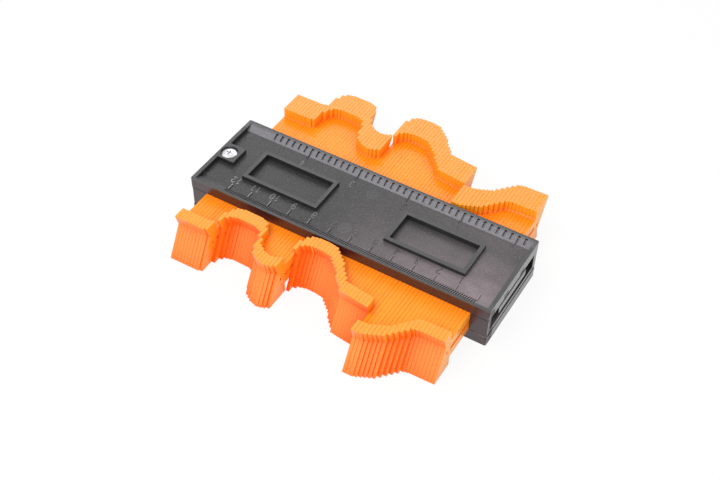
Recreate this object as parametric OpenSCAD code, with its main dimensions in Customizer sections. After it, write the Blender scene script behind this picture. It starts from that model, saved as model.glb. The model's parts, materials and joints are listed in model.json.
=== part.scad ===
// Contour gauge: a row of thin fingers that slide between two covers and keep the shape
// they are pushed against. Millimetres, Z up, X along the body, Y the way the fingers slide.
// The origin is the middle of the body's underside.

/* [Fingers] */
// Number of fingers in the stack
finger_n = 79; // [67:2:97]
// Thickness of one finger
finger_t = 1.54; // [1.2:0.01:2]
// Running gap between two fingers
finger_gap = 0.085; // [0.06:0.005:0.12]
// How far a finger slides each way from its middle place
finger_travel = 15.4; // [10:0.1:20]
// Height of the bar that runs through the body
bar_h = 10.3; // [8:0.1:13]
// Length of the head at each end, from its shoulder to its tip
head_l = 11.9; // [9:0.1:15]
// Length of the head's short flat, behind its blunt corner
lip_l = 5.7; // [4:0.1:7]
// Distance from the shoulder to the nick in the head's end face
nick_l = 4.1; // [3:0.1:6]
// Height of that nick above the finger's middle line
nick_z = 4; // [2:0.1:6]
// Size of the small bevel where a bar meets its head
root_c = 0.35; // [0.2:0.05:0.4]
// Height of the groove along the finger's side
groove_h = 1.8; // [1:0.1:3]
// Depth of the groove
groove_d = 0.5; // [0.2:0.05:0.6]
// Length of the small dent in the side of each head
dent_l = 1.2; // [0.8:0.1:2]

/* [Body] */
// Width of the body, the way the fingers slide
body_w = 45.5; // [36:0.5:56]
// Height of each cover
cover_h = 5.1; // [4.8:0.1:6.5]
// Corner radius of the covers in plan
cover_r = 0.8; // [0.4:0.1:2]
// Length of each end block along X
block_l = 7.75; // [6.5:0.05:12]
// How far the left end block stands in from the covers' edges
block_inset = 0.4; // [0.2:0.1:0.8]
// How far the hollow right end block stands in
hollow_inset = 0.2; // [0.1:0.1:0.4]
// Height of the open seam above and below an end block
seam_h = 0.3; // [0.2:0.05:0.5]
// Depth of that seam
seam_d = 0.5; // [0.3:0.1:1]

/* [Top cover] */
// Depth of the scale floor below the rim
floor_drop = 2; // [1:0.1:2.2]
// Width of the rim along the front and rear edges
rim_w = 1.1; // [0.8:0.1:2]
// Width of the rim at the two ends
end_rim = 1.8; // [1.2:0.1:3]
// Width in plan of each sloping ruler face
bevel_w = 3.95; // [3:0.05:6]
// Length of a label frame
label_l = 38; // [30:0.5:42]
// Width of a label frame
label_w = 19; // [14:0.5:22]
// Wall of a label frame
label_wall = 1.8; // [1.2:0.1:2.5]
// Depth of the bare pocket inside a label frame
label_depth = 2.5; // [2:0.1:3]
// How far the label frames stay below the rim
label_drop = 0.3; // [0:0.1:0.6]
// Distance of a label frame from its end of the cover
label_in = 17.9; // [14:0.1:19]
// Length of the screw boss from the left edge
boss_l = 10; // [9:0.1:12]
// Width of the screw boss
boss_w = 10; // [9:0.1:12]

/* [Rulers] */
// Distance of both zero marks from the right edge
zero_in = 8.24; // [6:0.01:12]
// Bare length left at the other end of the rulers
scale_rest = 14; // [12:0.5:20]
// Width of a millimetre cut
mm_cut_w = 0.45; // [0.3:0.05:0.6]
// Width of an eighth-inch cut
inch_cut_w = 1.1; // [0.5:0.1:1.4]
// Depth of a millimetre cut
mm_cut_d = 0.4; // [0.2:0.05:0.6]
// Depth of an eighth-inch cut
inch_cut_d = 0.9; // [0.2:0.1:1.2]
// Distance of a short inch cut from the foot of its slope
cut_foot = 0.9; // [0.6:0.1:1.5]
// Plain strip left between a cut and the edge of its slope
cut_rest = 0.3; // [0.1:0.05:0.5]
// Length of an inch line on the scale floor
inch_line_l = 2; // [1:0.1:3]
// Depth of an inch line
inch_line_d = 0.25; // [0.1:0.05:0.4]
// Length of a raised centimetre line
cm_line_l = 3; // [2:0.1:4]
// Width of a raised centimetre line
cm_line_w = 0.8; // [0.4:0.1:1.2]
// Height of a raised centimetre line
line_h = 0.35; // [0.1:0.05:0.4]

/* [Right end pocket] */
// Thickness of the posts beside the pocket
post_w = 2.8; // [2:0.1:4]
// Height of the sill below the pocket
sill_h = 2.3; // [1.2:0.1:3]
// Depth of the pocket from the end
pocket_d = 5.2; // [4.6:0.1:6]
// Length of the rib in the pocket
rib_l = 25; // [15:0.5:28]
// Height of the rib
rib_h = 3.5; // [2:0.1:4]
// Corner radius of the rib
rib_r = 0.8; // [0.2:0.1:1]
// How far the rib's end stays inside the pocket
rib_sink = 0.1; // [0.1:0.1:1]
// Distance of each group of slots in the cover's right edge from the middle
slots_y = 7.4; // [5:0.1:12]
// Width of one of these slots
slot_w = 0.5; // [0.3:0.1:0.7]
// Spacing of these slots
slot_pitch = 1; // [0.9:0.1:1.4]
// Height of these slots
slot_l = 2.2; // [1:0.1:3]
// Depth of these slots
slot_d = 0.5; // [0.3:0.1:0.8]

/* [Screw] */
// Shank diameter of the clamping screw
screw_d = 4; // [3:0.5:4]
// Distance of the screw from the left edge of the cover
screw_in = 4.5; // [4.4:0.05:5]
// Diameter of the screw's head
screw_head_d = 7.3; // [6:0.1:7.5]
// Height of the screw's head
screw_head_h = 2.2; // [1.8:0.1:2.4]
// How far the head stays below the rim
screw_sink = 0.4; // [0.2:0.1:0.6]
// Width across the flats of the square nut
nut_w = 7; // [6.5:0.1:7]
// Thickness of the nut
nut_h = 2.2; // [1.8:0.1:2.4]
// Floor left below the screw's tip in the bottom cover
screw_floor = 1.2; // [1:0.1:1.6]

/* [Friction strips] */
// Width of a felt strip
strip_w = 3; // [2:0.1:5]
// Thickness of a felt strip
strip_t = 1.2; // [0.8:0.1:1.4]
// Distance of each strip from the body's middle
strip_y = 14; // [12.5:0.5:16]

/* [Clearances] */
// Gap between a bar and the cover above or below it
slide_gap = 0.15; // [0.12:0.01:0.2]
// How far a strip stands out of its cover
strip_proud = 0.05; // [0:0.01:0.06]
// Gap between a finger's shoulder and the body at the end of its travel
stop_gap = 0.35; // [0.3:0.05:0.6]
// How far the heads stay inside the body's height, above and below
head_inset = 0.4; // [0.2:0.1:1]
// Gap between the stack and an end block
stack_gap = 0.1; // [0.08:0.01:0.3]
// Radial running clearance of the screw's shank
screw_clear = 0.05; // [0.03:0.01:0.08]
// Radial gap round the screw's head
head_clear = 0.3; // [0.2:0.1:0.6]
// Gap round the nut in its pocket
nut_clear = 0.15; // [0.1:0.05:0.3]

/* [Hidden] */
$fn = 64;
// a cut runs this far past a face, and a joined piece starts this far inside
over = 0.5;

pitch = finger_t + finger_gap;
stack_l = finger_n * pitch;
body_l = stack_l + 2 * (stack_gap + block_l + block_inset);
slot_h = bar_h + 2 * slide_gap;
body_h = slot_h + 2 * cover_h;
mid_z = body_h / 2;
top_z = cover_h + slot_h;

shoulder = body_w / 2 + finger_travel + stop_gap;
tip = shoulder + head_l;
head_h = body_h - 2 * head_inset;

floor_z = body_h - floor_drop;
slope_top = body_w / 2 - rim_w;
slope_foot = slope_top - bevel_w;
label_top = body_h - label_drop;
label_x = body_l / 2 - label_in - label_l / 2;

screw_x = screw_in - body_l / 2;
head_seat = body_h - screw_sink - screw_head_h;
tip_room = 0.4;
bore_d = screw_d + 2 * screw_clear;
block_x = stack_l / 2 + stack_gap;
end_x = body_l / 2 - hollow_inset;

zero_x = body_l / 2 - zero_in;
scale_l = body_l - zero_in - scale_rest;
inch = 25.4;
cm_n = floor(scale_l / 10);
eighth_n = floor(scale_l * 8 / inch);
slope = floor_drop / bevel_w;
slot_n = 4;

plastic = [0.36, 0.36, 0.37];
orange = [1, 0.62, 0.24];
felt = [0.16, 0.16, 0.17];
steel = [0.8, 0.81, 0.82];

// The contour held at rest, as [percent along the stack from the left, percent of the
// travel to the rear]: flat, bead, cove, bull-nose and ogee, flat, step, ramp, flat.
contour = [
  [0, -3], [11, -2], [12, 1],
  [13.3, 46], [14.6, 67], [15.8, 76], [18.4, 82], [24.7, 81], [27.2, 74],
  [28.5, 55], [29.7, 17], [31, -3], [33.5, -18], [36.5, -25], [38.6, -19], [39.9, -13],
  [41.1, 65], [42.4, 85], [43.7, 94], [46, 99], [49.5, 99], [52.5, 95], [57.6, 58],
  [58.9, 40], [61.4, 18], [62.7, 4], [72.8, -6],
  [74, -90], [77, -89], [83, -66], [89.2, -9],
  [91, -4], [100, -2]
];

function finger_y(i) = finger_travel * lookup(100 * (i + 0.5) / finger_n, contour) / 100;
function finger_x(i) = i * pitch - stack_l / 2 + finger_gap / 2;

// Fingers sit two to a node, and the last one is alone.
function two_digits(n) = n < 10 ? str("0", n) : str(n);
function group_name(k) = 2 * k + 2 <= finger_n
  ? str("fingers_", two_digits(2 * k + 1), "_", two_digits(2 * k + 2))
  : str("finger_", two_digits(2 * k + 1));
group_n = ceil(finger_n / 2);

// A box from a low corner to a high corner
module span(low, high) {
  translate(low) cube(high - low);
}

// A rectangle with true round corners
module rounded(length, width, r) {
  square([length - 2 * r, width], center = true);
  square([length, width - 2 * r], center = true);
  for (x = [-1, 1], y = [-1, 1]) translate([x * (length / 2 - r), y * (width / 2 - r)]) circle(r);
}

// The blank of a cover, standing on z
module plate(z) {
  translate([0, 0, z]) linear_extrude(cover_h) rounded(body_l, body_w, cover_r);
}

// A profile drawn in Y and Z, extruded along X from x
module along_x(x, length) {
  translate([x, 0, 0]) rotate([90, 0, 90]) linear_extrude(length) children();
}

// Half of a finger's outline about its own middle, front end first
front_half = [
  [-shoulder + root_c, bar_h / 2], [-shoulder, bar_h / 2 + root_c],
  [-shoulder, head_h / 2], [-shoulder - lip_l, head_h / 2],
  [-shoulder - nick_l, nick_z], [-tip, -head_h / 2], [-shoulder, -head_h / 2],
  [-shoulder, -bar_h / 2 - root_c], [-shoulder + root_c, -bar_h / 2]
];

// One finger: the rear half is the front half turned round, so either edge can lead
module finger(i) {
  groove_x = finger_t - groove_d;
  dent_y = shoulder + (nick_l + dent_l) / 2;
  translate([finger_x(i), finger_y(i), mid_z]) difference() {
    along_x(0, finger_t) polygon(concat(front_half, -front_half));
    span([groove_x, -shoulder, -groove_h / 2], [finger_t + over, shoulder, groove_h / 2]);
    for (end = [-1, 1])
      translate([groove_x, end * dent_y - dent_l / 2, -groove_h / 2])
        cube([groove_d + over, dent_l, groove_h]);
  }
}

module finger_group(k) {
  color(orange) for (i = [2 * k : min(2 * k + 1, finger_n - 1)]) finger(i);
}

// The hollow over the scale floor, with a sloping ruler face at the front and the rear
module scale_hollow() {
  length = body_l - 2 * end_rim;
  along_x(-length / 2, length) polygon([
    [-slope_foot, floor_z], [slope_foot, floor_z], [slope_top, body_h],
    [slope_top, body_h + over], [-slope_top, body_h + over], [-slope_top, body_h]
  ]);
}

// A cut of even depth in one sloping ruler face, from some distance above the slope's foot
module slope_cut(side, x, width, depth, low) {
  high = bevel_w - cut_rest;
  outline = [[low, -depth], [high, -depth], [high, over], [low, over]];
  along_x(x - width / 2, width)
    polygon([for (p = outline) [side * (slope_foot + p[0]), floor_z + slope * p[0] + p[1]]]);
}

// Millimetre cuts in the front slope
module millimetre_cuts() {
  for (k = [0 : 10 * cm_n]) slope_cut(-1, zero_x - k, mm_cut_w, mm_cut_d, cut_rest);
}

// Eighth-inch cuts in the rear slope, the inches with a line on the floor as well
module inch_cuts() {
  for (k = [-1 : eighth_n]) {
    x = zero_x - k * inch / 8;
    whole = k % 8 == 0;
    slope_cut(1, x, inch_cut_w, inch_cut_d, whole ? 0 : cut_foot);
    if (whole) translate([x - inch_cut_w / 2, slope_foot - inch_line_l, floor_z - inch_line_d])
      cube([inch_cut_w, inch_line_l + over, over]);
  }
}

module centimetre_lines() {
  for (k = [0 : cm_n]) translate([zero_x - 10 * k - cm_line_w / 2, -slope_foot - over, floor_z - over])
    cube([cm_line_w, cm_line_l + over, line_h + over]);
}

// Two groups of slots in the lower edge of the cover's right face
module skirt_slots() {
  for (group = [-slots_y, slots_y], k = [0 : slot_n - 1]) {
    y = group + (k - (slot_n - 1) / 2) * slot_pitch - slot_w / 2;
    translate([body_l / 2 - slot_d, y, top_z - over]) cube([slot_d + over, slot_w, slot_l + over]);
  }
}

// The same box in the place of each label frame
module label_block(length, width, low, high) {
  for (end = [-1, 1])
    translate([end * label_x - length / 2, -width / 2, low]) cube([length, width, high - low]);
}

module strip_groove(y, low, high) {
  span([-stack_l / 2, y - strip_w / 2, low], [stack_l / 2, y + strip_w / 2, high]);
}

module screw_hole(d, low, high) {
  translate([screw_x, 0, low]) cylinder(d = d, h = high - low);
}

module top_cover() {
  color(plastic) difference() {
    union() {
      difference() {
        plate(top_z);
        scale_hollow();
        millimetre_cuts();
        inch_cuts();
        skirt_slots();
      }
      centimetre_lines();
      label_block(label_l, label_w, floor_z - over, label_top);
      translate([-body_l / 2, 0, 0])
        span([end_rim / 2, -boss_w / 2, floor_z - over], [boss_l, boss_w / 2, body_h]);
    }
    label_block(label_l - 2 * label_wall, label_w - 2 * label_wall, label_top - label_depth, body_h);
    screw_hole(screw_head_d + 2 * head_clear, head_seat, body_h + over);
    screw_hole(bore_d, top_z - over, head_seat + over);
    for (y = [-strip_y, strip_y]) strip_groove(y, top_z - over, top_z + strip_t - strip_proud);
  }
}

module bottom_cover() {
  pocket = nut_w + 2 * nut_clear;
  pocket_z = cover_h - nut_h - nut_clear;
  color(plastic) difference() {
    plate(0);
    for (y = [-strip_y, strip_y]) strip_groove(y, cover_h - strip_t + strip_proud, cover_h + over);
    translate([screw_x - pocket / 2, -pocket / 2, pocket_z]) cube([pocket, pocket, cover_h]);
    screw_hole(bore_d, screw_floor, pocket_z + over);
  }
}

// A block at the right end, cut back at its outer edges where it meets the covers
module end_block_blank(reach, half_w) {
  span([block_x, -half_w, cover_h + seam_h], [reach, half_w, top_z - seam_h]);
  span([block_x, seam_d - half_w, cover_h], [reach - seam_d, half_w - seam_d, top_z]);
}

module left_end_block() {
  color(plastic) difference() {
    mirror([1, 0, 0]) end_block_blank(block_x + block_l, body_w / 2 - block_inset);
    screw_hole(bore_d, cover_h - over, top_z + over);
  }
}

// Open at the end and at the top, where the cover's skirt closes it
module right_end_block() {
  half_w = body_w / 2 - hollow_inset;
  pocket_y = half_w - post_w;
  rib_z = (cover_h + sill_h + top_z) / 2;
  color(plastic) {
    difference() {
      end_block_blank(end_x, half_w);
      span([end_x - pocket_d, -pocket_y, cover_h + sill_h], [end_x + over, pocket_y, top_z + over]);
    }
    translate([0, 0, rib_z])
      along_x(end_x - pocket_d - over, pocket_d + over - rib_sink) rounded(rib_l, rib_h, rib_r);
  }
}

// Pan head with a cross recess, on a plain shank that stands for its thread
module tension_screw() {
  recess_l = 0.4 * screw_head_d;
  recess_w = 0.6;
  recess_d = 1;
  dome_r = 1.6 * screw_head_d;
  head_top = head_seat + screw_head_h;
  color(steel) difference() {
    union() {
      intersection() {
        screw_hole(screw_head_d, head_seat, head_top);
        translate([screw_x, 0, head_top - dome_r]) sphere(dome_r);
      }
      screw_hole(screw_d, screw_floor + tip_room, head_seat + over);
    }
    for (turn = [0, 90])
      translate([screw_x, 0, head_top - recess_d / 2 + over]) rotate(turn)
        cube([recess_l, recess_w, recess_d + 2 * over], center = true);
  }
}

module clamp_nut() {
  color(steel) difference() {
    translate([screw_x - nut_w / 2, -nut_w / 2, cover_h - nut_h]) cube([nut_w, nut_w, nut_h]);
    screw_hole(bore_d, cover_h - nut_h - over, cover_h + over);
  }
}

module strip(y, low) {
  color(felt) span([-stack_l / 2, y - strip_w / 2, low], [stack_l / 2, y + strip_w / 2, low + strip_t]);
}

top_cover();
bottom_cover();
left_end_block();
right_end_block();
tension_screw();
clamp_nut();
strip(-strip_y, top_z - strip_proud);  // upper_front_strip
strip(strip_y, top_z - strip_proud);  // upper_rear_strip
strip(-strip_y, cover_h - strip_t + strip_proud);  // lower_front_strip
strip(strip_y, cover_h - strip_t + strip_proud);  // lower_rear_strip
for (k = [0 : group_n - 1])
  finger_group(k);
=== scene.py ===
"""Contour gauge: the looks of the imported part, in metres, in the part's own frame."""
import json
import math

import bpy
from mathutils import Matrix, Vector


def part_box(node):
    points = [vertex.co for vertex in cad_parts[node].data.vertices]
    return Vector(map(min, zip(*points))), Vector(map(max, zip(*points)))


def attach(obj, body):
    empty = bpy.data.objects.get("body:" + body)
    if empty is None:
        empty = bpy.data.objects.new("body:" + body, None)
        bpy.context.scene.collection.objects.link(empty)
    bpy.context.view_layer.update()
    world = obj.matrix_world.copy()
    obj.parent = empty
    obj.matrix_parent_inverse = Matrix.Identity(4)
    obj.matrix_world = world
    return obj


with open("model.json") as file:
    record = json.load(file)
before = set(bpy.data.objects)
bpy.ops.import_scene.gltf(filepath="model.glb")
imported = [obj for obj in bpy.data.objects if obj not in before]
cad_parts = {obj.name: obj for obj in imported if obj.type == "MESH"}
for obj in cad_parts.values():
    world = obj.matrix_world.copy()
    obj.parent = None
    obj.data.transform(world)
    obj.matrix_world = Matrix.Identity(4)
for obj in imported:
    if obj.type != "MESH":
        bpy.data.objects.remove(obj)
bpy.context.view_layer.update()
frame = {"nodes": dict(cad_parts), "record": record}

MM = 0.001

# Camera: where it looks, from which side, and its lens on a sensor of the usual width
LOOK_AT = Vector((3.92, -6.92, 10.0)) * MM
AZIMUTH = math.radians(29.99)
ELEVATION = math.radians(46.29)
ROLL = math.radians(1.37)
DISTANCE = 494.7 * MM
LENS_MM = 58.24
SENSOR_MM = 36.0

# Sizes that the frame gives
COVER_LOW, COVER_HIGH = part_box("top_cover")
RIM_Z = COVER_HIGH.z
UPPER_SEAM_Z = COVER_LOW.z
LOWER_SEAM_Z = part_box("bottom_cover")[1].z
SCREW_LOW, SCREW_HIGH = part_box("tension_screw")
SCREW_X = (SCREW_LOW.x + SCREW_HIGH.x) / 2

# The stack of fingers, from the first one's left side to the last one's
FINGER_N = 79
STACK_LOW_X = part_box("fingers_01_02")[0].x
LAST_LOW, LAST_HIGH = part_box("finger_79")
FINGER_PITCH = (LAST_LOW.x - STACK_LOW_X) / (FINGER_N - 1)
HEAD_TOP_Z = LAST_HIGH.z

# The scale floor, and the two scales on it: their zero, their steps and where their numbers stand
FLOOR_DROP = 2.0 * MM
FLOOR_Z = RIM_Z - FLOOR_DROP
ZERO_IN = 8.24 * MM
ZERO_X = COVER_HIGH.x - ZERO_IN
CM_NUMBERS = range(1, 13)
CM_STEP = 10 * MM
CM_NUMBER_Y = -12.0 * MM
INCH_NUMBERS = range(1, 5)
INCH_STEP = 25.4 * MM
INCH_NUMBER_Y = 12.5 * MM

# The numbers: their height, and the strokes that draw them
NUMBER_H = 3.3 * MM
STROKE_R = 0.24 * MM
STROKE_ROUNDING = 2

# A digit's middle and the step to the next digit, as shares of the height
DIGIT_MIDDLE = 0.5
DIGIT_ADVANCE = 0.72

# The sloping rulers along the front and the rear of the scale floor, and a depth below all their cuts
RIM_W = 1.1 * MM
SLOPE_W = 3.95 * MM
RULER_TOP_Y = COVER_HIGH.y - RIM_W
RULER_FOOT_Y = RULER_TOP_Y - SLOPE_W
BELOW_CUTS = 1.0 * MM

# How deep below a ruler's slope the painted shade in a cut begins, and how deep it is full
CUT_EDGE_D = 0.06 * MM
CUT_DEEP_D = 0.2 * MM

# The raised centimetre lines at the foot of the front ruler, and the band along their tops that gets a
# painted highlight
LINE_L = 3.0 * MM
LINE_H = 0.35 * MM
LINE_LIT_W = 0.4 * MM
LINE_LIT_LOW = 0.2 * MM
LINE_LIT_HIGH = LINE_H + 0.1 * MM

# Marks that ejector pins leave on the scale floor, as x, y and radius, and the ring round each
WIDE_PIN_R = 2.7 * MM
THIN_PIN_R = 1.4 * MM
EJECTOR_MARKS = [
    (-1.0 * MM, -11.7 * MM, WIDE_PIN_R),
    (-1.0 * MM, 11.7 * MM, WIDE_PIN_R),
    (SCREW_X, -14.4 * MM, THIN_PIN_R),
    (SCREW_X, 15.7 * MM, THIN_PIN_R),
    (ZERO_X - 3.8 * MM, -14.4 * MM, THIN_PIN_R),
]
RING_W = 0.18 * MM

# How far from the scale floor's height a place is off it, and how near it is on it
OFF_FLOOR = 0.1 * MM
ON_FLOOR = 0.05 * MM

# How far in from the casing's long outer walls a place still counts as theirs
WALL_SKIN = 0.6 * MM

# How far below the rim its band of painted highlight lasts, and where the band has ended
RIM_LIT_D = 0.35 * MM
RIM_PLAIN_D = 0.55 * MM

# Heights of the painted shadow below the upper seam of an end block and above its lower seam
UPPER_SHADOW_H = 0.8 * MM
LOWER_SHADOW_H = 0.45 * MM

# Where the pinkish tone, the painted highlight on raised strokes and the painted shade in the front cuts
# begin, and where they are full
TINT_FROM_X, TINT_FULL_X = -12 * MM, 58 * MM
TINT_FROM_Y, TINT_FULL_Y = 8 * MM, -18 * MM
HIGHLIGHT_FROM_X, HIGHLIGHT_FULL_X = 10 * MM, -60 * MM
CUT_SHADE_FROM_X, CUT_SHADE_FULL_X = -50 * MM, 30 * MM

# How far round a place hollows are looked for, for the painted shade in the casing's hollows and in the
# fingers' hollows
SHELTER_REACH = 16.0 * MM
HOLLOW_REACH = 14.0 * MM
OPENNESS_RAYS = 6

# Where the painted light on the heads begins, and how far below their tops the painted hollow shade gives
# way to painted light, as if shining through the thin fingers
HEAD_LIGHT_FROM_Z = 15.8 * MM
EDGE_GLOW = 3.2 * MM

# Depths of the fine relief
RING_RELIEF = 0.06 * MM
WAVE_RELIEF = 0.03 * MM
GRAIN_RELIEF = 0.05 * MM
SATIN_RELIEF = 0.02 * MM
TURNING_RELIEF = 0.02 * MM
FIBRE_RELIEF = 0.15 * MM

# How squarely a face looks up or down: a wall and a level face of the casing
WALL_TILT, LEVEL_TILT = 0.3, 0.6

# The same for the fingers: a top and a slope, then a leaning and an upright face
TOP_TILT, SLOPE_TILT = 0.95, 0.5
LEANING_TILT, UPRIGHT_TILT = 0.2, 0.08

# How pale with dust the discs and the rings of the ejector marks are
DISC_DUST = 0.05
RING_DUST = 0.16

# How far a finger's own shade of orange may go, and how much of the painted hollow shade uprights lose
# and flanks keep
SHADE_SHARE = 0.2
UPRIGHT_LOSS = 0.85
FLANK_SHARE = 0.45

# Colours that several marks on the casing share: rubbed plastic, also the painted highlight of the rim,
# dust, and the dark of painted shade
RUBBED_AND_RIM_HIGHLIGHT = (0.06, 0.06, 0.061, 1)
DUST = (0.30, 0.30, 0.30, 1)
SHADE_DARK = (0.004, 0.004, 0.004, 1)


# Materials

class Nodes:
    """A material's node tree, with short calls that add a node and join its inputs."""

    # The span in which nearly all values of a noise lie
    NOISE_LOW, NOISE_HIGH = 0.3, 0.7

    def __init__(self, name):
        self.material = bpy.data.materials.new(name)
        self.material.use_nodes = True
        self.tree = self.material.node_tree
        self.shader = self.tree.nodes["Principled BSDF"]
        coordinates = self.add("ShaderNodeTexCoord").outputs
        self.place = coordinates["Object"]
        self.normal = coordinates["Normal"]

    def join(self, value, socket):
        """Links a socket's value to an input, or sets a plain value on it."""
        if isinstance(value, bpy.types.NodeSocket):
            self.tree.links.new(value, socket)
        else:
            socket.default_value = value

    def add(self, kind, inputs=None, **settings):
        """Adds a node with its settings and inputs."""
        node = self.tree.nodes.new(kind)
        for key, value in settings.items():
            setattr(node, key, value)
        for key, value in (inputs or {}).items():
            self.join(value, node.inputs[key])
        return node

    def set(self, **inputs):
        """Joins inputs of the shader, with underscores for the spaces in their names."""
        for key, value in inputs.items():
            self.join(value, self.shader.inputs[key.replace("_", " ")])

    def noise(self, scale, detail=3.0, roughness=0.55, place=None):
        inputs = {"Vector": place or self.place, "Scale": scale, "Detail": detail, "Roughness": roughness}
        return self.add("ShaderNodeTexNoise", inputs).outputs["Fac"]

    def streaks(self, scale, detail, roughness):
        """Noise with a scale of its own along each axis."""
        place = self.add("ShaderNodeMapping", {"Vector": self.place, "Scale": scale}).outputs["Vector"]
        return self.noise(1.0, detail, roughness, place)

    def axis(self, name, vector=None):
        return self.add("ShaderNodeSeparateXYZ", {"Vector": vector or self.place}).outputs[name]

    def facing(self, name):
        """How squarely a place faces along an axis, either way."""
        return self.absolute(self.axis(name, self.normal))

    def openness(self, reach):
        """How open a place is to what lies round it, less in hollows."""
        inputs = {"Distance": reach}
        return self.add("ShaderNodeAmbientOcclusion", inputs, samples=OPENNESS_RAYS).outputs["AO"]

    def remap(self, value, low, high, to_low=0.0, to_high=1.0):
        """Turns one span of values into another, and holds values outside it at its ends."""
        inputs = {"Value": value, "From Min": low, "From Max": high, "To Min": to_low, "To Max": to_high}
        return self.add("ShaderNodeMapRange", inputs).outputs["Result"]

    def spread(self, noise, to_low=0.0, to_high=1.0):
        """Turns the usual span of a noise into another."""
        return self.remap(noise, self.NOISE_LOW, self.NOISE_HIGH, to_low, to_high)

    def fade(self, mask, at_nought, at_one):
        """A value that goes from one to another with a mask."""
        return self.remap(mask, 0.0, 1.0, at_nought, at_one)

    def math(self, operation, a, b=0.0):
        return self.add("ShaderNodeMath", {0: a, 1: b}, operation=operation).outputs["Value"]

    def absolute(self, value):
        return self.math("ABSOLUTE", value)

    def larger(self, a, b):
        return self.math("MAXIMUM", a, b)

    def opposite(self, mask):
        """One where a mask is nought, nought where it is one."""
        return self.math("SUBTRACT", 1.0, mask)

    def times(self, product, *factors):
        for factor in factors:
            product = self.math("MULTIPLY", product, factor)
        return product

    def between(self, value, low, high):
        """One where a value lies between two limits, nought elsewhere."""
        return self.times(self.math("GREATER_THAN", value, low), self.math("LESS_THAN", value, high))

    def vector(self, operation, a, b, output):
        return self.add("ShaderNodeVectorMath", {0: a, 1: b}, operation=operation).outputs[output]

    def mix(self, factor, a, b):
        """A colour that goes from one to another with a factor."""
        node = self.add("ShaderNodeMix", data_type="RGBA")
        for key, value in (("Factor_Float", factor), ("A_Color", a), ("B_Color", b)):
            self.join(value, next(s for s in node.inputs if s.identifier == key))
        return next(s for s in node.outputs if s.identifier == "Result_Color")

    def bump(self, height, strength, depth, normal=None):
        """The normal of a fine relief, on top of another relief's normal if one is given."""
        node = self.add("ShaderNodeBump", {"Height": height, "Strength": strength, "Distance": depth})
        if normal:
            self.join(normal, node.inputs["Normal"])
        return node.outputs["Normal"]


def ejector_marks(m):
    """Two masks of the scale floor: thin rings round the ejector marks, and the discs inside them."""
    flat = m.vector("MULTIPLY", m.place, (1, 1, 0), "Vector")
    rings = discs = 0.0
    for x, y, radius in EJECTOR_MARKS:
        off = m.math("SUBTRACT", m.vector("DISTANCE", flat, (x, y, 0), "Value"), radius)
        rings = m.math("ADD", m.remap(m.absolute(off), RING_W, 0.0), rings)
        discs = m.math("ADD", m.remap(off, 0.0, -RING_W), discs)
    height = m.absolute(m.math("SUBTRACT", m.axis("Z"), FLOOR_Z))
    on_floor = m.remap(height, OFF_FLOOR, ON_FLOOR)
    return m.times(rings, on_floor), m.times(discs, on_floor)


def mould_bloom(m):
    """How much of a paler pinkish tone a place gets: most at the right end of the front, in smears."""
    along = m.remap(m.axis("X"), TINT_FROM_X, TINT_FULL_X)
    across = m.remap(m.axis("Y"), TINT_FROM_Y, TINT_FULL_Y, to_low=0.25, to_high=1.3)
    smears = m.streaks(scale=(60, 140, 60), detail=4, roughness=0.6)
    return m.times(along, across, m.spread(smears, to_low=0.7, to_high=1.3))


def ruler_slopes(m):
    """One on the slopes of the two rulers and in their cuts, nought elsewhere."""
    within = m.between(m.absolute(m.axis("Y")), RULER_FOOT_Y, RULER_TOP_Y)
    return m.times(within, m.math("GREATER_THAN", m.axis("Z"), FLOOR_Z - BELOW_CUTS))


def ruler_cuts(m):
    """How much painted shade darkens the cuts of the rulers: most at the front's right end, little
    behind.
    """
    out = m.absolute(m.axis("Y"))
    slope_z = m.remap(out, RULER_FOOT_Y, RULER_TOP_Y, FLOOR_Z, RIM_Z)
    sunk = m.remap(m.math("SUBTRACT", slope_z, m.axis("Z")), CUT_EDGE_D, CUT_DEEP_D)
    front = m.remap(m.axis("X"), CUT_SHADE_FROM_X, CUT_SHADE_FULL_X, to_low=0.35, to_high=0.95)
    amount = m.remap(m.axis("Y"), -RULER_FOOT_Y, RULER_FOOT_Y, to_low=front, to_high=0.3)
    return m.times(sunk, m.between(out, RULER_FOOT_Y, RULER_TOP_Y), amount)


def line_tops(m):
    """One along the middle of the raised centimetre lines, nought on what lies beside them."""
    along = m.between(m.axis("Y"), -RULER_FOOT_Y, LINE_L - RULER_FOOT_Y)
    on_top = m.between(m.axis("Z"), FLOOR_Z + LINE_LIT_LOW, FLOOR_Z + LINE_LIT_HIGH)
    from_zero = {0: m.math("SUBTRACT", ZERO_X, m.axis("X")), 1: CM_STEP / 2, 2: -CM_STEP / 2}
    off = m.add("ShaderNodeMath", from_zero, operation="WRAP").outputs["Value"]
    return m.times(along, on_top, m.between(off, -LINE_LIT_W / 2, LINE_LIT_W / 2))


def wear(m):
    """How much painted highlight raised strokes get: more towards the left end, in patches."""
    along = m.remap(m.axis("X"), HIGHLIGHT_FROM_X, HIGHLIGHT_FULL_X, to_low=0.1)
    patches = m.remap(m.noise(scale=900, detail=4), low=0.35, high=0.65, to_low=0.4)
    return m.times(along, patches)


def long_walls(m):
    """One on the casing's long outer walls, which get a painted reflection of the fingers' orange."""
    return m.math("GREATER_THAN", m.absolute(m.axis("Y")), COVER_HIGH.y - WALL_SKIN)


def seam_dirt(m):
    """One beside the seams between an end block and the covers, on the block's side, where a shadow is
    painted.
    """
    z = m.axis("Z")
    upper = m.between(z, UPPER_SEAM_Z - UPPER_SHADOW_H, UPPER_SEAM_Z)
    return m.math("ADD", upper, m.between(z, LOWER_SEAM_Z, LOWER_SEAM_Z + LOWER_SHADOW_H))


def sheltered(m):
    """How much painted shade darkens a place in a hollow, off the long walls and the rulers."""
    hollow = m.remap(m.openness(SHELTER_REACH), low=0.62, high=0.25, to_high=0.85)
    return m.times(hollow, m.opposite(m.larger(long_walls(m), ruler_slopes(m))))


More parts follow.
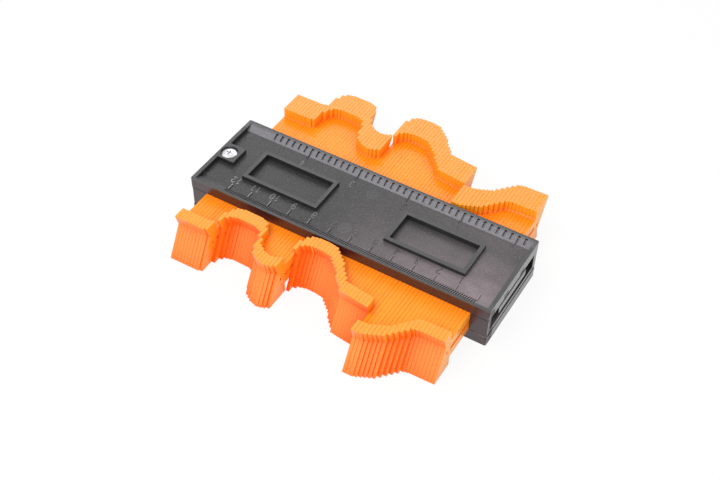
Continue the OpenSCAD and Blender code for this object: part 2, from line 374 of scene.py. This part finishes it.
def casing_ground(m, level, grain):
    """The casing's colour: mottled, paler where its grain is rubbed, with a painted orange reflection on
    the long walls.
    """
    dark, pale = (0.011, 0.011, 0.0115, 1), (0.021, 0.0205, 0.021, 1)
    orange_reflection = (0.032, 0.006, 0.010, 1)
    colour = m.mix(m.spread(m.noise(scale=60, detail=5, roughness=0.6)), dark, pale)
    rough_spots = m.remap(grain, low=0.46, high=0.64, to_high=0.8)
    colour = m.mix(m.times(rough_spots, m.fade(level, at_nought=0.2, at_one=1.0)), colour, RUBBED_AND_RIM_HIGHLIGHT)
    # A painted reflection of the orange fingers on the long walls.
    return m.mix(m.times(long_walls(m), m.fade(level, at_nought=0.85, at_one=0.0)), colour, orange_reflection)


def mould_marks(m, colour, level, grain, below_rim, rings, discs):
    """Adds to a colour a paler pinkish tone, the ejector marks and a painted sheen on the rulers' slopes.
    """
    pinkish, slope_sheen_colour = (0.205, 0.165, 0.176, 1), (0.2, 0.19, 0.212, 1)
    # A paler pinkish tone, most at the right end of the front.
    tint = m.times(mould_bloom(m), level, below_rim)
    colour = m.mix(m.times(tint, m.spread(grain, to_low=0.6, to_high=1.0)), colour, pinkish)
    colour = m.mix(m.larger(m.times(discs, DISC_DUST), m.times(rings, RING_DUST)), colour, DUST)
    # A sheen painted on the rulers' slopes, more on the rear one.
    more_behind = m.remap(m.axis("Y"), -RULER_FOOT_Y, RULER_FOOT_Y, to_low=0.4)
    slope_sheen = m.times(ruler_slopes(m), level, more_behind)
    return m.mix(m.times(slope_sheen, m.spread(grain, to_low=0.4, to_high=0.8)), colour, slope_sheen_colour)


def signs_of_use(m, colour, level, below_rim, cuts, painted_shade):
    """Adds to a colour painted shade in cuts, hollows and seams, painted highlights on raised lines and
    the rim, scuffs and specks of dust.
    """
    highlight_colour = (0.42, 0.41, 0.41, 1)
    # Painted shade in the rulers' cuts.
    colour = m.mix(cuts, colour, SHADE_DARK)
    # A painted highlight on the tops of the raised centimetre lines.
    colour = m.mix(m.times(line_tops(m), m.times(wear(m), level)), colour, highlight_colour)
    # A painted highlight along the rim.
    colour = m.mix(m.remap(below_rim, low=1.0, high=0.0, to_high=0.65), colour, RUBBED_AND_RIM_HIGHLIGHT)
    # Painted shade at the seams and in hollows.
    colour = m.mix(painted_shade, colour, SHADE_DARK)
    scuffs = m.streaks(scale=(120, 1500, 900), detail=3, roughness=0.6)
    colour = m.mix(m.remap(scuffs, low=0.66, high=0.74, to_high=0.35), colour, RUBBED_AND_RIM_HIGHLIGHT)
    specks = m.add("ShaderNodeTexVoronoi", {"Vector": m.place, "Scale": 260.0}).outputs["Distance"]
    return m.mix(m.remap(specks, low=0.06, high=0.03, to_high=0.6), colour, DUST)


def casing_plastic():
    """Charcoal moulding: spark-eroded and dull where it lies level, smooth and glossy on walls."""
    m = Nodes("casing_plastic")
    level = m.remap(m.facing("Z"), WALL_TILT, LEVEL_TILT)
    grain = m.noise(scale=1500, roughness=0.7)
    below_rim = m.remap(m.axis("Z"), RIM_Z - RIM_LIT_D, RIM_Z - RIM_PLAIN_D)
    rings, discs = ejector_marks(m)
    cuts = ruler_cuts(m)
    # Painted shade: a shadow below and above the end blocks' seams on walls, and shade in hollows.
    painted_shade = m.larger(m.times(seam_dirt(m), m.opposite(level)), sheltered(m))
    colour = casing_ground(m, level, grain)
    colour = mould_marks(m, colour, level, grain, below_rim, rings, discs)
    colour = signs_of_use(m, colour, level, below_rim, cuts, painted_shade)
    rough = m.spread(m.noise(scale=300, detail=4), to_low=0.34, to_high=0.42)
    rough = m.math("ADD", rough, m.fade(level, at_nought=-0.1, at_one=0.0))
    rough = m.larger(rough, m.larger(cuts, painted_shade))
    m.set(Base_Color=colour, Roughness=rough, Specular_IOR_Level=0.45)
    gloss = m.times(m.fade(level, at_nought=0.55, at_one=0.0), m.opposite(painted_shade))
    m.set(Coat_Weight=gloss, Coat_Roughness=0.28, Coat_IOR=1.5)
    ringed = m.bump(rings, strength=1.0, depth=RING_RELIEF)
    waved = m.bump(m.noise(scale=700), strength=0.2, depth=WAVE_RELIEF, normal=ringed)
    eroded = m.times(grain, m.fade(level, at_nought=0.1, at_one=1.0))
    m.set(Normal=m.bump(eroded, strength=0.9, depth=GRAIN_RELIEF, normal=waved))
    return m.material


def number_plastic():
    """The same moulding where the mould was polished, with a highlight painted on its strokes towards the
    left end.
    """
    m = Nodes("number_plastic")
    plain, highlight_colour = (0.03, 0.03, 0.031, 1), (0.36, 0.35, 0.35, 1)
    # A highlight painted on the strokes, most towards the left end.
    m.set(Base_Color=m.mix(wear(m), plain, highlight_colour))
    rough = m.spread(m.noise(scale=1200), to_low=0.2, to_high=0.3)
    m.set(Roughness=rough, Specular_IOR_Level=0.8)
    return m.material


def finger_shade(m):
    """A value from nought to one for each finger."""
    along = m.math("SUBTRACT", m.axis("X"), STACK_LOW_X)
    number = m.math("FLOOR", m.math("DIVIDE", along, FINGER_PITCH))
    return m.add("ShaderNodeTexWhiteNoise", {"W": number}, noise_dimensions="1D").outputs["Value"]


def finger_hollows(m, sloping, standing):
    """How much painted shade, a deeper orange, shows in hollows: most on slopes, none at the tops of the
    heads.
    """
    flank = m.remap(m.facing("X"), low=0.5, high=0.9)
    most = m.fade(sloping, at_nought=0.35, at_one=1.0)
    most = m.math("SUBTRACT", most, m.times(standing, UPRIGHT_LOSS))
    most = m.larger(most, m.times(flank, FLANK_SHARE))
    lit_edge = m.remap(m.axis("Z"), HEAD_TOP_Z - EDGE_GLOW, HEAD_TOP_Z, to_low=1.0, to_high=0.0)
    hollow = m.remap(m.openness(HOLLOW_REACH), low=0.9, high=0.56)
    return m.times(hollow, m.times(most, lit_edge))


def finger_plastic():
    """Satin orange moulding, a shade for each finger; painted light and shade by height, facing and
    hollows.
    """
    m = Nodes("finger_plastic")
    base, deep, pale = (1.0, 0.31, 0.006, 1), (1.0, 0.25, 0.004, 1), (1.0, 0.325, 0.04, 1)
    slope_shade, upright_light, hollow = (1.0, 0.25, 0.045, 1), (1.0, 0.40, 0.02, 1), (1.0, 0.1, 0.0, 1)
    sloping = m.remap(m.facing("Z"), TOP_TILT, SLOPE_TILT)
    standing = m.remap(m.facing("Z"), LEANING_TILT, UPRIGHT_TILT)
    colour = m.mix(m.times(finger_shade(m), SHADE_SHARE), base, deep)
    colour = m.mix(m.remap(m.noise(scale=140), low=0.35, high=0.75, to_high=0.15), colour, deep)
    # Painted light: the heads paler towards their tops.
    colour = m.mix(m.remap(m.axis("Z"), HEAD_LIGHT_FROM_Z, HEAD_TOP_Z, to_high=0.8), colour, pale)
    # Painted shade and light by facing: redder on slopes, yellower on upright faces.
    colour = m.mix(sloping, colour, slope_shade)
    colour = m.mix(standing, colour, upright_light)
    # Painted shade: a deeper orange in hollows, by how open a place is.
    colour = m.mix(finger_hollows(m, sloping, standing), colour, hollow)
    rough = m.spread(m.noise(scale=420, detail=4), to_low=0.28, to_high=0.36)
    m.set(Base_Color=colour, Roughness=rough, Specular_IOR_Level=0.4)
    m.set(Normal=m.bump(m.noise(scale=1500), strength=0.12, depth=SATIN_RELIEF))
    return m.material


def screw_steel():
    """Bright plated steel with fine turning rings round the screw's axis."""
    m = Nodes("screw_steel")
    bright, stained = (0.70, 0.70, 0.72, 1), (0.58, 0.58, 0.61, 1)
    centred = m.vector("SUBTRACT", m.place, (SCREW_X, 0, 0), "Vector")
    inputs = {"Vector": centred, "Scale": 1400.0, "Distortion": 1.5, "Detail": 2.0}
    rings = m.add("ShaderNodeTexWave", inputs, wave_type="RINGS", rings_direction="Z").outputs["Fac"]
    stain = m.remap(m.noise(scale=500, detail=4), low=0.35, high=0.7)
    m.set(Base_Color=m.mix(stain, bright, stained), Metallic=1.0)
    m.set(Roughness=m.spread(m.noise(scale=900, detail=4), to_low=0.3, to_high=0.45))
    m.set(Normal=m.bump(rings, strength=0.12, depth=TURNING_RELIEF))
    return m.material


def nut_steel():
    """Plain plated steel, duller and a little spotted."""
    m = Nodes("nut_steel")
    plain, spotted = (0.6, 0.61, 0.62, 1), (0.42, 0.43, 0.45, 1)
    spots = m.remap(m.noise(scale=700, detail=5), low=0.4, high=0.7)
    m.set(Base_Color=m.mix(spots, plain, spotted), Metallic=1.0)
    m.set(Roughness=m.spread(m.noise(scale=1500), to_low=0.35, to_high=0.55))
    return m.material


def strip_felt():
    """Pressed black felt: tangled short fibres."""
    m = Nodes("strip_felt")
    dark, pale = (0.012, 0.012, 0.013, 1), (0.05, 0.05, 0.052, 1)
    fibres = m.streaks(scale=(2500, 5200, 3800), detail=6, roughness=0.7)
    m.set(Base_Color=m.mix(fibres, dark, pale), Roughness=0.95, Sheen_Weight=0.4)
    m.set(Normal=m.bump(fibres, strength=0.8, depth=FIBRE_RELIEF))
    return m.material


MAKERS = (casing_plastic, number_plastic, finger_plastic, screw_steel, nut_steel, strip_felt)
MATERIALS = {make.__name__: make() for make in MAKERS}


# The CAD pieces

# Rounding of their edges, by material
EDGE_R = {
    "casing_plastic": 0.12 * MM,
    "finger_plastic": 0.09 * MM,
    "screw_steel": 0.12 * MM,
    "nut_steel": 0.15 * MM,
    "strip_felt": 0.2 * MM,
}
EDGE_SEGMENTS = 2

# What is joined before the rounding, what counts as flat, and what counts as an edge
WELD_GAP = 0.0005 * MM
FLAT_ANGLE = math.radians(0.5)
EDGE_ANGLE = math.radians(30)


def finish_node(obj, slot):
    """Gives a CAD piece its material and rounds its edges, with the mesh itself left alone."""
    obj.data.materials.clear()
    obj.data.materials.append(MATERIALS[slot])
    weld = obj.modifiers.new("weld", "WELD")
    weld.merge_threshold = WELD_GAP
    flat = obj.modifiers.new("flat", "DECIMATE")
    flat.decimate_type = "DISSOLVE"
    flat.angle_limit = FLAT_ANGLE
    edges = obj.modifiers.new("edges", "BEVEL")
    edges.width = EDGE_R[slot]
    edges.segments = EDGE_SEGMENTS
    edges.limit_method = "ANGLE"
    edges.angle_limit = EDGE_ANGLE
    edges.harden_normals = True


for part in frame["record"]["subparts"]:
    finish_node(frame["nodes"][part["node"]], part["material_slot"])


# Numbers of the two scales

def arc(x, y, rx, ry, start, end, points=9):
    """Points of an ellipse about (x, y), between two angles in degrees."""
    angles = [math.radians(start + (end - start) * i / (points - 1)) for i in range(points)]
    return [(x + rx * math.cos(a), y + ry * math.sin(a)) for a in angles]


# Each digit as strokes in a box about 0.5 wide and 1 high, with its middle at x = 0
DIGITS = {
    "0": [arc(0, 0.5, 0.25, 0.5, 0, 360, 21)],
    "1": [[(0, 0), (0, 1), (-0.16, 0.8)]],
    "2": [arc(0, 0.75, 0.25, 0.25, 170, -35) + [(-0.25, 0), (0.27, 0)]],
    "3": [arc(0, 0.75, 0.23, 0.25, 150, -90) + arc(0, 0.25, 0.25, 0.25, 90, -150)],
    "4": [[(0.12, 0), (0.12, 1), (-0.26, 0.3), (0.28, 0.3)]],
    "5": [[(0.22, 1), (-0.2, 1), (-0.22, 0.56)] + arc(0, 0.32, 0.25, 0.32, 125, -140)],
    "6": [arc(0.08, 0.55, 0.33, 0.45, 75, 180, 7) + arc(0, 0.28, 0.25, 0.28, 180, 540, 17)],
    "7": [[(-0.25, 1), (0.25, 1), (-0.06, 0)]],
    "8": [arc(0, 0.76, 0.21, 0.24, -90, 270, 17) + arc(0, 0.26, 0.25, 0.26, 90, 450, 17)],
    "9": [arc(-0.08, 0.45, 0.33, 0.45, -105, 0, 7) + arc(0, 0.72, 0.25, 0.28, 0, 360, 17)],
}


def number_strokes(number, middle_x, middle_y):
    """Strokes of a number as points, turned half round its middle to be read from behind."""
    text = str(number)
    for place, digit in enumerate(text):
        shift = (place - (len(text) - 1) / 2) * DIGIT_ADVANCE
        for stroke in DIGITS[digit]:
            centred = [(shift + x, y - DIGIT_MIDDLE) for x, y in stroke]
            yield [(middle_x - x * NUMBER_H, middle_y - y * NUMBER_H) for x, y in centred]


def scale_numbers(name, numbers, step, middle_y):
    """One piece with a raised number at each step from the zero."""
    curve = bpy.data.curves.new(name, "CURVE")
    curve.dimensions = "3D"
    curve.bevel_depth = STROKE_R
    curve.bevel_resolution = STROKE_ROUNDING
    curve.use_fill_caps = True
    for number in numbers:
        for stroke in number_strokes(number, ZERO_X - number * step, middle_y):
            spline = curve.splines.new("POLY")
            spline.points.add(len(stroke) - 1)
            for point, (x, y) in zip(spline.points, stroke):
                point.co = (x, y, FLOOR_Z, 1)
    drawn = bpy.data.objects.new(name + "_curve", curve)
    bpy.context.scene.collection.objects.link(drawn)
    bpy.context.view_layer.update()
    mesh = bpy.data.meshes.new_from_object(drawn.evaluated_get(bpy.context.evaluated_depsgraph_get()))
    bpy.data.objects.remove(drawn)
    piece = bpy.data.objects.new(name, mesh)
    bpy.context.scene.collection.objects.link(piece)
    mesh.materials.clear()
    mesh.materials.append(MATERIALS["number_plastic"])
    mesh.shade_smooth()
    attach(piece, "casing")


scale_numbers("centimetre_numbers", CM_NUMBERS, CM_STEP, CM_NUMBER_Y)
scale_numbers("inch_numbers", INCH_NUMBERS, INCH_STEP, INCH_NUMBER_Y)


# Studio: floor, world, lights and camera

WHITE = (1, 1, 1, 1)
STUDIO_HALF = 3.0
STUDIO_COLOUR = (0.86, 0.86, 0.86, 1)

# How much of the studio's floor the camera sees as plain white, and how strong the sky's light is
STUDIO_WHITE = 0.9
SKY_STRENGTH = 0.5

# Softboxes, as name, place in metres, width and height, watts and colour
LIGHTS = [
    ("top", (-0.35, -0.22, 0.9), (0.55, 0.55), 3.6, (0.97, 0.97, 1.0)),
    ("back", (-0.32, 0.8, 0.5), (0.8, 0.45), 2.4, (1.0, 0.97, 0.98)),
    ("right", (0.95, -0.2, 0.35), (0.5, 0.5), 1.4, (1.0, 1.0, 1.0)),
    ("key", (0.06, -0.41, 0.48), (0.45, 0.4), 2.0, (1.0, 1.0, 1.0)),
]


def seen_directly(tree):
    """One for what the camera or a reflection sees, nought for all other light."""
    path = tree.nodes.new("ShaderNodeLightPath").outputs
    seen = path["Is Camera Ray"]
    for kind in ("Is Glossy Ray", "Is Transmission Ray"):
        either = tree.nodes.new("ShaderNodeMath")
        either.operation = "MAXIMUM"
        tree.links.new(seen, either.inputs[0])
        tree.links.new(path[kind], either.inputs[1])
        seen = either.outputs["Value"]
    return seen


def floor_material():
    """White to the camera and in reflections, but for the object's shadow, and pale to other light."""
    m = Nodes("floor")
    m.set(Base_Color=STUDIO_COLOUR, Roughness=0.9, Specular_IOR_Level=0.1)
    glow = m.add("ShaderNodeEmission", {"Color": WHITE, "Strength": 1.0})
    share = m.times(seen_directly(m.tree), STUDIO_WHITE)
    blend = m.add("ShaderNodeMixShader", {0: share, 1: m.shader.outputs[0], 2: glow.outputs[0]})
    m.join(blend.outputs[0], m.tree.nodes["Material Output"].inputs["Surface"])
    return m.material


def make_floor():
    mesh = bpy.data.meshes.new("floor")
    corners = [(x * STUDIO_HALF, y * STUDIO_HALF, 0) for x, y in ((-1, -1), (1, -1), (1, 1), (-1, 1))]
    mesh.from_pydata(corners, [], [(0, 1, 2, 3)])
    mesh.materials.append(floor_material())
    floor = bpy.data.objects.new("floor", mesh)
    bpy.context.scene.collection.objects.link(floor)


def make_world():
    """A soft even sky for the light, and plain white where the camera or a reflection sees it."""
    world = bpy.data.worlds.new("studio")
    bpy.context.scene.world = world
    world.use_nodes = True
    tree = world.node_tree
    strength = tree.nodes.new("ShaderNodeMapRange")
    strength.inputs["To Min"].default_value = SKY_STRENGTH
    strength.inputs["To Max"].default_value = 1.0
    tree.links.new(seen_directly(tree), strength.inputs["Value"])
    sky = tree.nodes["Background"]
    sky.inputs["Color"].default_value = WHITE
    tree.links.new(strength.outputs["Result"], sky.inputs["Strength"])


def area_light(name, at, size, watts, colour):
    """A softbox that looks at the origin."""
    data = bpy.data.lights.new(name, "AREA")
    data.shape = "RECTANGLE"
    data.size, data.size_y = size
    data.energy = watts
    data.color = colour
    light = bpy.data.objects.new(name, data)
    light.location = at
    light.rotation_euler = (-Vector(at)).to_track_quat("-Z", "Y").to_euler()
    light.visible_camera = False
    bpy.context.scene.collection.objects.link(light)


def make_camera():
    """The photograph's camera: turned round its subject, raised, and rolled about its own axis."""
    level = math.cos(ELEVATION)
    back = Vector((math.sin(AZIMUTH) * level, -math.cos(AZIMUTH) * level, math.sin(ELEVATION)))
    right = Vector((0, 0, 1)).cross(back).normalized()
    up = back.cross(right)
    rolled_right = right * math.cos(ROLL) + up * math.sin(ROLL)
    rolled_up = up * math.cos(ROLL) - right * math.sin(ROLL)
    data = bpy.data.cameras.new("camera")
    data.lens = LENS_MM
    data.sensor_width = SENSOR_MM
    data.sensor_fit = "HORIZONTAL"
    camera = bpy.data.objects.new("camera", data)
    turn = Matrix((rolled_right, rolled_up, back)).transposed().to_4x4()
    camera.matrix_world = Matrix.Translation(LOOK_AT + back * DISTANCE) @ turn
    bpy.context.scene.collection.objects.link(camera)
    bpy.context.scene.camera = camera


make_floor()
make_world()
for light in LIGHTS:
    area_light(*light)
make_camera()
bpy.context.scene.view_settings.view_transform = "Standard"
